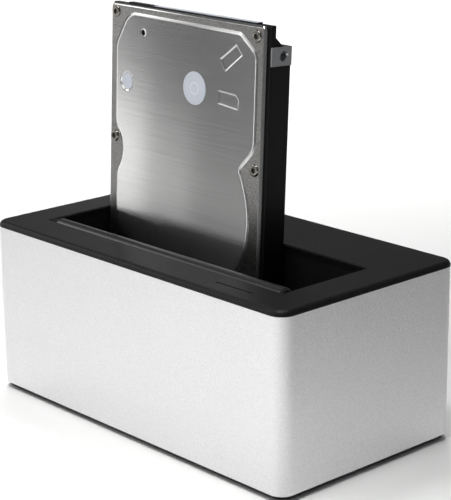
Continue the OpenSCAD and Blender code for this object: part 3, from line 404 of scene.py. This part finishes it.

# %% [markdown]
# ## Painted highlight on the casting
# A pale strip is painted on the casting's upper end, where its top face catches the light: a painted
# highlight.
# It is too thin to be a piece of its own, so it is one more colour in the casting's material: everything
# above a height, between a left and a right end that are measured from the drive's middle line.

# %% Painted highlight on the casting
HIGHLIGHT_ABOVE, HIGHLIGHT_LEFT, HIGHLIGHT_RIGHT = 118.42 * MM, -15.8 * MM, 29 * MM
above = add(tree, MATHS, {0: axes["Z"], 1: HIGHLIGHT_ABOVE}, operation="GREATER_THAN").outputs[0]
past_left = add(tree, MATHS, {0: signed, 1: HIGHLIGHT_LEFT}, operation="GREATER_THAN").outputs[0]
short_of_right = add(tree, MATHS, {0: signed, 1: HIGHLIGHT_RIGHT}, operation="LESS_THAN").outputs[0]
between = add(tree, MATHS, {0: past_left, 1: short_of_right}, operation="MULTIPLY").outputs[0]
painted_highlight = add(tree, MATHS, {0: above, 1: between}, operation="MULTIPLY").outputs[0]
# A pale colour painted over the top face of the casting's upper end: a painted highlight
tone = add(tree, "ShaderNodeMix", {0: painted_highlight, 6: tone, 7: linear("#e3e7f0")}, data_type="RGBA").outputs[2]
tree.links.new(tone, shader.inputs["Base Color"])
dress(casting, "drive_base")

# %% [markdown]
# ## Cap of the motor
# The spindle motor's cap is turned on a lathe from bare aluminium. Turning leaves fine marks that only dull
# the gloss at this size, so the cap is one more grained metal.

# %% Cap of the motor
# Pale grey with a soft gloss
turned, _, _ = grained("turned_aluminium", "#c5c6c9", "#a9abaf", 0.5, (0.25, 0.35), 0.006, metallic=1.0)
dress(turned, "motor_cap")

# %% [markdown]
# ## Seals of white film
# Two small round seals close test holes of the drive. They are white polyester film with an adhesive back,
# and the edge of the hole below shows through as faint rings. The cosine of the distance from the large
# seal's middle makes the rings, and a limit ends them.

# %% Seals of white film
RING_PITCH, RINGS_WITHIN = 1.7 * MM, 3.2 * MM
# Flat, slightly blue and a little glossy
film, tree, shader = grained("white_polyester_film", "#d8dde8", "#d3d9e5", 0.6, (0.4, 0.5), 0.001)
box = [Vector(c) for c in frame["nodes"]["large_seal"].bound_box]
middle = sum(box, Vector()) / 8
where = add(tree, "ShaderNodeTexCoord").outputs["Object"]
reach = add(tree, VECTOR_MATHS, {0: where, 1: middle}, operation="DISTANCE").outputs["Value"]
turns = add(tree, MATHS, {0: reach, 1: 2 * math.pi / RING_PITCH}, operation="MULTIPLY").outputs[0]
wave = add(tree, MATHS, {0: turns}, operation="COSINE").outputs[0]
rings = add(tree, "ShaderNodeMapRange", {"Value": wave, "From Min": 0.2, "From Max": 0.9}).outputs[0]
within = add(tree, MATHS, {0: reach, 1: RINGS_WITHIN}, operation="LESS_THAN").outputs[0]
rings = add(tree, MATHS, {0: rings, 1: within}, operation="MULTIPLY").outputs[0]
plain = shader.inputs["Base Color"].links[0].from_socket
tone = add(tree, "ShaderNodeMix", {0: rings, 6: plain, 7: linear("#e6eaf2")}, data_type="RGBA").outputs[2]
tree.links.new(tone, shader.inputs["Base Color"])
dress(film, "large_seal", "small_seal")

# %% [markdown]
# ## The bench
# The lid and its screws are modelled on a bench: X runs across the lid, Y up it from the lid's upper edge
# and Z out of it, all in millimetres. One matrix then carries the finished mesh to its place on the leaning
# drive, so the object itself stays at the origin, like the CAD nodes.

# %% The bench
DRIVE_Y, DRIVE_Z, LEAN = -1.255 * MM, 19.0 * MM, math.radians(-2.87)
LID_TOP = 98.69
BENCH = (Matrix.Translation((DRIVE_X, DRIVE_Y, DRIVE_Z)) @ Matrix.Rotation(LEAN, 4, "X")
         @ Matrix.Scale(MM, 4)
         @ Matrix.Translation((0, 0, LID_TOP)) @ Matrix.Rotation(math.radians(90), 4, "X"))


def piece(bm, name, place, body, materials, crease=32):
    """Closes a bmesh into a named object in its place, smooth except over creases, riding on a body."""
    bmesh.ops.remove_doubles(bm, verts=bm.verts, dist=1e-4)
    bmesh.ops.recalc_face_normals(bm, faces=bm.faces)
    bm.transform(place)
    mesh = bpy.data.meshes.new(name)
    bm.to_mesh(mesh)
    bm.free()
    mesh.shade_smooth()
    mesh.set_sharp_from_angle(angle=math.radians(crease))
    for material in materials:
        mesh.materials.append(material)
    made = bpy.data.objects.new(name, mesh)
    bpy.context.scene.collection.objects.link(made)
    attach(made, body)
    low, high = [[round(c[i] / MM, 2) for i in range(3)] for c in (made.bound_box[0], made.bound_box[6])]
    print(name, "faces", len(mesh.polygons), "mm", low, high)
    return made


print("bench at, mm:", [round(c / MM, 2) for c in BENCH.translation])

# %% [markdown]
# ## Drawing on the bench
# A pressed part starts as an outline. Points are written as (across, down), because they are read from the
# lid's upper edge downwards. The first two helpers draw an outline, the next pulls it up into a solid, and
# the last turns a new face the right way round. A vertex bevel replaces the face it rounds, so that helper
# looks for the face that wasn't there before.

# %% Drawing on the bench
def rounded_face(bm, corners, z, segments=6):
    """A face through corners (across, down, rounding), each rounded by a vertex bevel; returns the face."""
    before = set(bm.faces)
    points = [bm.verts.new((u, -s, z)) for u, s, _ in corners]
    bm.faces.new(points)
    for point, (_, _, rounding) in zip(points, corners):
        if rounding:
            bmesh.ops.bevel(bm, geom=[point], affect="VERTICES", offset=rounding, segments=segments,
                            profile=0.5, material=-1)
    return next(f for f in bm.faces if f not in before)


def disc_points(bm, middle, radius, z, segments=40):
    """A round face about a middle (across, down); returns its points, each on that one face."""
    place = Matrix.Translation((middle[0], -middle[1], z))
    return bmesh.ops.create_circle(bm, cap_ends=True, segments=segments, radius=radius, matrix=place)["verts"]


def pull_up(bm, face, height):
    """Pulls a face up into a solid; returns the new upper face."""
    risen = bmesh.ops.extrude_face_region(bm, geom=[face], use_keep_orig=True)["geom"]
    points = [v for v in risen if isinstance(v, bmesh.types.BMVert)]
    bmesh.ops.translate(bm, verts=points, vec=(0, 0, height))
    return next(f for f in risen if isinstance(f, bmesh.types.BMFace))


def face_up(face):
    """Turns a new face so that it looks out of the lid."""
    face.normal_update()
    if face.normal.z < 0:
        face.normal_flip()


print("lid's upper edge, mm along the drive:", LID_TOP)

# %% [markdown]
# ## Sheet of the lid
# The lid is stamped from stainless steel sheet. Its outer edge is rolled over by the die, so it catches
# a bright line of light. We draw a rectangle, round its corners, pull it up to the sheet's thickness and
# bevel the upper edge. At the left the sheet reaches a little further than the CAD lid, as the real one
# does. A narrow inset keeps the flat face's shading apart from the bevel's, and the flat faces get a slot
# of their own for the border's finish: a rougher steel whose darker tone is painted shade.

# %% Sheet of the lid
LID_W, LID_L, LID_T, LIP = 66.94, 89.69, 1.3, 0.5
CORNER, ROLLED, GUARD, WIDER_LEFT = 1.6, 0.9, 0.1, 0.95
# The first slot is black painted shade in the breather hole, the second the matt border, whose darker tone is
# painted shade
HOLE_SHADE_SLOT, MATT_SLOT = 1, 2
# A face counts as flat when its normal points out of the lid by at least this share
LEVEL = 0.99
right = LID_W / 2
left = -right - WIDER_LEFT
outline = [(left, -LIP, CORNER), (left, LID_L, CORNER), (right, LID_L, CORNER), (right, -LIP, CORNER)]
lid = bmesh.new()
top = pull_up(lid, rounded_face(lid, outline, -LID_T), LID_T)
bmesh.ops.bevel(lid, geom=top.edges[:], affect="EDGES", offset=ROLLED, segments=6, profile=0.5, material=-1)
flat = max(lid.faces, key=lambda f: f.calc_center_median().z)
bmesh.ops.inset_region(lid, faces=[flat], thickness=GUARD, depth=0)
lid.normal_update()
for face in lid.faces:
    if face.normal.z > LEVEL:
        face.material_index = MATT_SLOT
print("sheet faces", len(lid.faces))

# %% [markdown]
# ## Raised panel of the lid
# The middle of the lid is pressed outwards for stiffness. Its outline steps aside for the screws and follows
# the round disk below. The press leaves a sloping shoulder, not a wall, and that slope is what draws the
# bright and dark lines. An inset with a depth makes exactly such a slope, and a bevel softens its upper
# crease. Two neighbouring roundings have to fit on the edge between them, or the outline crosses itself.

# %% Raised panel of the lid
RAISE, SHOULDER, SHOULDER_ROUND, ROOT = 0.31, 0.9, 0.3, 0.4
PANEL = [
    (-32.0, 11.6, 1.5), (-31.85, 36.4, 2.0), (-28.2, 41.2, 2.4), (-28.2, 46.2, 2.4), (-31.0, 51.0, 1.6),
    (-31.0, 84.0, 5.0), (29.5, 84.0, 27.0), (29.5, 48.94, 7.5), (24.9, 41.7, 1.6), (31.1, 35.2, 2.4),
    (31.1, 7.45, 2.0), (23.91, 2.05, 0.9), (-26.1, 1.55, 3.6),
]
panel = bmesh.new()
plateau = pull_up(panel, rounded_face(panel, PANEL, -ROOT, segments=8), ROOT)
bmesh.ops.recalc_face_normals(panel, faces=panel.faces)
bmesh.ops.inset_region(panel, faces=[plateau], thickness=SHOULDER, depth=RAISE, use_even_offset=True)
bmesh.ops.bevel(panel, geom=plateau.edges[:], affect="EDGES", offset=SHOULDER_ROUND, segments=4, profile=0.5,
                material=-1)
plateau = max((f for f in panel.faces if f.normal.z > LEVEL), key=lambda f: f.calc_area())
bmesh.ops.inset_region(panel, faces=[plateau], thickness=GUARD, depth=0)
print("panel faces", len(panel.faces))

# %% [markdown]
# ## Outlines of the pressed marks
# Two small pads and the seat of the small seal are pressed into the panel, and one breather hole is drilled.
# Each is drawn as its own face on the panel's plane, and the panel's big face is then filled again round
# them. The pads' corners stay sharp, because an inset wider than a rounding would fold over itself there.

# %% Outlines of the pressed marks
SLANTED_PAD = [(15.04, 10.65, 0), (22.18, 5.47, 0), (25.22, 8.75, 0), (17.75, 14.53, 0)]
LEVEL_PAD = [(14.8, 19.6, 0), (22.6, 19.95, 0), (24.0, 21.6, 0), (23.7, 24.8, 0), (14.8, 24.0, 0)]
SMALL_SEAL, SEAT_R = (-26.1, 22.8), 3.35
BREATHER, BREATHER_R = (-18.8, 7.2), 1.5
edges = plateau.edges[:]
bmesh.ops.delete(panel, geom=[plateau], context="FACES_ONLY")
marks = [rounded_face(panel, pad, RAISE) for pad in (SLANTED_PAD, LEVEL_PAD)]
for place, radius in ((SMALL_SEAL, SEAT_R), (BREATHER, BREATHER_R)):
    marks.append(disc_points(panel, place, radius, RAISE)[0].link_faces[0])
for mark in marks:
    face_up(mark)
    edges += mark.edges[:]
bmesh.ops.triangle_fill(panel, edges=edges, use_beauty=True, normal=(0, 0, 1))
print("marks", len(marks), "panel faces", len(panel.faces))

# %% [markdown]
# ## Walls of the pressed marks
# Every mark is sunk with an inset of negative depth, so its walls slope as pressed metal does. A bevel rounds
# the upper brink, and a narrow flat inset on either side keeps the shading of wall, panel and floor apart.
# The breather goes on downwards, and its bottom and taper get the slot of a black that is painted shade in
# the hole.

# %% Walls of the pressed marks
BRINK_GUARD, BRINK_ROUND, FLOOR_GUARD = 0.2, 0.15, 0.08
# Width and depth of the wall for the two pads, the seat and the breather
WALLS = ((0.5, 0.24), (0.5, 0.24), (0.55, 0.29), (0.4, 0.1))
BORE_TAPER, BORE_DEPTH = 0.03, 0.18
for mark, (width, depth) in zip(marks, WALLS):
    bmesh.ops.inset_region(panel, faces=[mark], thickness=BRINK_GUARD, depth=0, use_even_offset=True)
    brink = mark.edges[:]
    bmesh.ops.inset_region(panel, faces=[mark], thickness=width, depth=-depth, use_even_offset=True)
    bmesh.ops.bevel(panel, geom=brink, affect="EDGES", offset=BRINK_ROUND, segments=4, profile=0.5,
                    material=-1)
    bmesh.ops.inset_region(panel, faces=[mark], thickness=FLOOR_GUARD, depth=0, use_even_offset=True)
breather = marks[-1]
bmesh.ops.inset_region(panel, faces=[breather], thickness=BORE_TAPER, depth=-BORE_DEPTH)
# The bottom of the breather and its taper are painted black: painted shade in the hole
for face in {f for e in breather.edges for f in e.link_faces}:
    face.material_index = HOLE_SHADE_SLOT
print("panel faces", len(panel.faces))

# %% [markdown]
# ## Brushed stainless steel
# The raised panel is brushed across by a belt. Each brush line is a tiny groove, so light spreads up and
# down the lid and hardly sideways. The grooves, about 0.05 mm apart, are drawn coarser, 0.28 mm apart and
# about 23 mm long, and the shader's own anisotropy, with its tangent up the lid, does the smearing that is
# too fine to draw.

# %% Brushed stainless steel
# A grey mirror whose reflections smear into upright streaks
brushed, tree, shader = grained("brushed_stainless_steel", "#c4c4c3", "#b9b9b8", 0.28, (0.205, 0.216),
                                0.0002, metallic=1.0, along=(0.012, 1, 1))
shader.inputs["Anisotropic"].default_value = 0.72
up_the_lid = add(tree, "ShaderNodeTangent", direction_type="UV_MAP", uv_map="up_the_lid")
tree.links.new(up_the_lid.outputs[0], shader.inputs["Tangent"])
print(brushed.name, "nodes", len(tree.nodes))

# %% [markdown]
# ## Bow of the lid
# A pressed sheet is never flat to a mirror's measure, and a small bow moves a reflection a long way. Instead
# of bending the mesh, the shading normal is turned with the distance from a middle, which bends the
# reflection as a bow would. The turn is stronger than a real lid's. The grooves' relief is then laid on the
# turned normal.

# %% Bow of the lid
# The middle in metres, and how far the normal leans for each metre away from it
BOW_MIDDLE, BOW_TURN = (DRIVE_X, 0.0, -140 * MM), (3.0, 0.0, 0.6)
normal = add(tree, "ShaderNodeNewGeometry").outputs["Normal"]
where = add(tree, "ShaderNodeTexCoord").outputs["Object"]
away = add(tree, VECTOR_MATHS, {0: where, 1: BOW_MIDDLE}, operation="SUBTRACT").outputs[0]
turn = add(tree, VECTOR_MATHS, {0: away, 1: BOW_TURN}, operation="MULTIPLY").outputs[0]
bowed = add(tree, VECTOR_MATHS, {0: normal, 1: turn}, operation="ADD").outputs[0]
bowed = add(tree, VECTOR_MATHS, {0: bowed}, operation="NORMALIZE").outputs[0]
relief = shader.inputs["Normal"].links[0].from_node
tree.links.new(bowed, relief.inputs["Normal"])
print(brushed.name, "nodes", len(tree.nodes))

# %% [markdown]
# ## The stamped lid in its place
# Panel and sheet become one mesh. Its UV map only tells the shader which way is up the lid. The belt doesn't
# reach the lower border, which keeps the rougher finish of rolled sheet with a darker tone that is painted
# shade, and the bottom of the breather hole is painted black as painted shade. The lid takes over from its
# CAD node and rides on the drive.

# %% The stamped lid in its place
pressing = bpy.data.meshes.new("pressing")
panel.to_mesh(pressing)
panel.free()
lid.from_mesh(pressing)
bpy.data.meshes.remove(pressing)
grid = lid.loops.layers.uv.new("up_the_lid")
for face in lid.faces:
    for corner in face.loops:
        corner[grid].uv = (1 + corner.vert.co.y / LID_L, 0.5 + corner.vert.co.x / LID_W)
# Painted shade at the bottom of the breather hole: black without any gloss
painted_hole_shade, _, _ = grained("painted_shade_in_breather", "#0b0b0b", "#050505", 0.3, (0.8, 0.9), 0.02, specular=0.1)
# A sandy grey, matt and without streaks, darker than the panel as painted shade
matt, _, _ = grained("matt_steel_with_painted_shade", "#a4a3a1", "#7c7b79", 0.5, (0.27, 0.34), 0.006, metallic=1.0)
stamped_lid = piece(lid, "stamped_lid", BENCH, "drive", [brushed, painted_hole_shade, matt], crease=20)
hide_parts("drive_lid")

# %% [markdown]
# ## Lid screws
# Six small screws with domed heads and a six-lobed socket hold the lid. A disc pulled up and bevelled gives
# the dome. The socket is a circle of twelve points with every second one drawn in. The head's top is filled
# again round it, and an inset sinks it. The heads are plated with dark nickel, and the sockets' bottoms are
# painted black as painted shade.

# %% Lid screws
HEAD_R, HEAD_FOOT, HEAD_TOP, DOME = 1.85, -0.3, 0.5, 0.62
STAR_R, DRAWN_IN, SOCKET_WALL, SOCKET_DEPTH = 1.0, 0.68, 0.08, 0.42
SOCKET_SHADE_SLOT = 1
SCREWS = [(-31.9, 2.1), (30.2, 2.6), (-31.9, 40.5), (30.8, 40.8), (-31.9, 84.5), (30.8, 84.5)]
screws = bmesh.new()
for u, s in SCREWS:
    foot = disc_points(screws, (u, s), HEAD_R, HEAD_FOOT, segments=28)[0].link_faces[0]
    top = pull_up(screws, foot, HEAD_TOP - HEAD_FOOT)
    bmesh.ops.bevel(screws, geom=top.edges[:], affect="EDGES", offset=DOME, segments=5, profile=0.5,
                    material=-1)
    apex = Vector((u, -s, HEAD_TOP))
    crown = min(screws.faces, key=lambda f: (f.calc_center_median() - apex).length)
    edges = crown.edges[:]
    bmesh.ops.delete(screws, geom=[crown], context="FACES_ONLY")
    star = disc_points(screws, (u, s), STAR_R, HEAD_TOP, segments=12)
    hub = Matrix.Translation((-u, s, 0))
    bmesh.ops.scale(screws, vec=(DRAWN_IN, DRAWN_IN, 1), verts=star[::2], space=hub)
    socket = star[0].link_faces[0]
    face_up(socket)
    bmesh.ops.triangle_fill(screws, edges=edges + socket.edges[:], use_beauty=True, normal=(0, 0, 1))
    bmesh.ops.inset_region(screws, faces=[socket], thickness=SOCKET_WALL, depth=-SOCKET_DEPTH,
                           use_even_offset=True)
    # The socket's bottom is painted black: painted shade in the recess
    socket.material_index = SOCKET_SHADE_SLOT
# A brownish grey mirror
dark_nickel, _, _ = grained("dark_nickel_plate", "#9d9992", "#7a766f", 0.5, (0.16, 0.22), 0.006,
                            metallic=1.0)
# Painted shade in the sockets: black with a wet sheen
painted_socket_shade, _, _ = grained("painted_shade_in_socket", "#121110", "#090909", 0.4, (0.35, 0.5), 0.01)
domed_screws = piece(screws, "domed_lid_screws", BENCH, "drive", [dark_nickel, painted_socket_shade])
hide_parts("lid_screws")
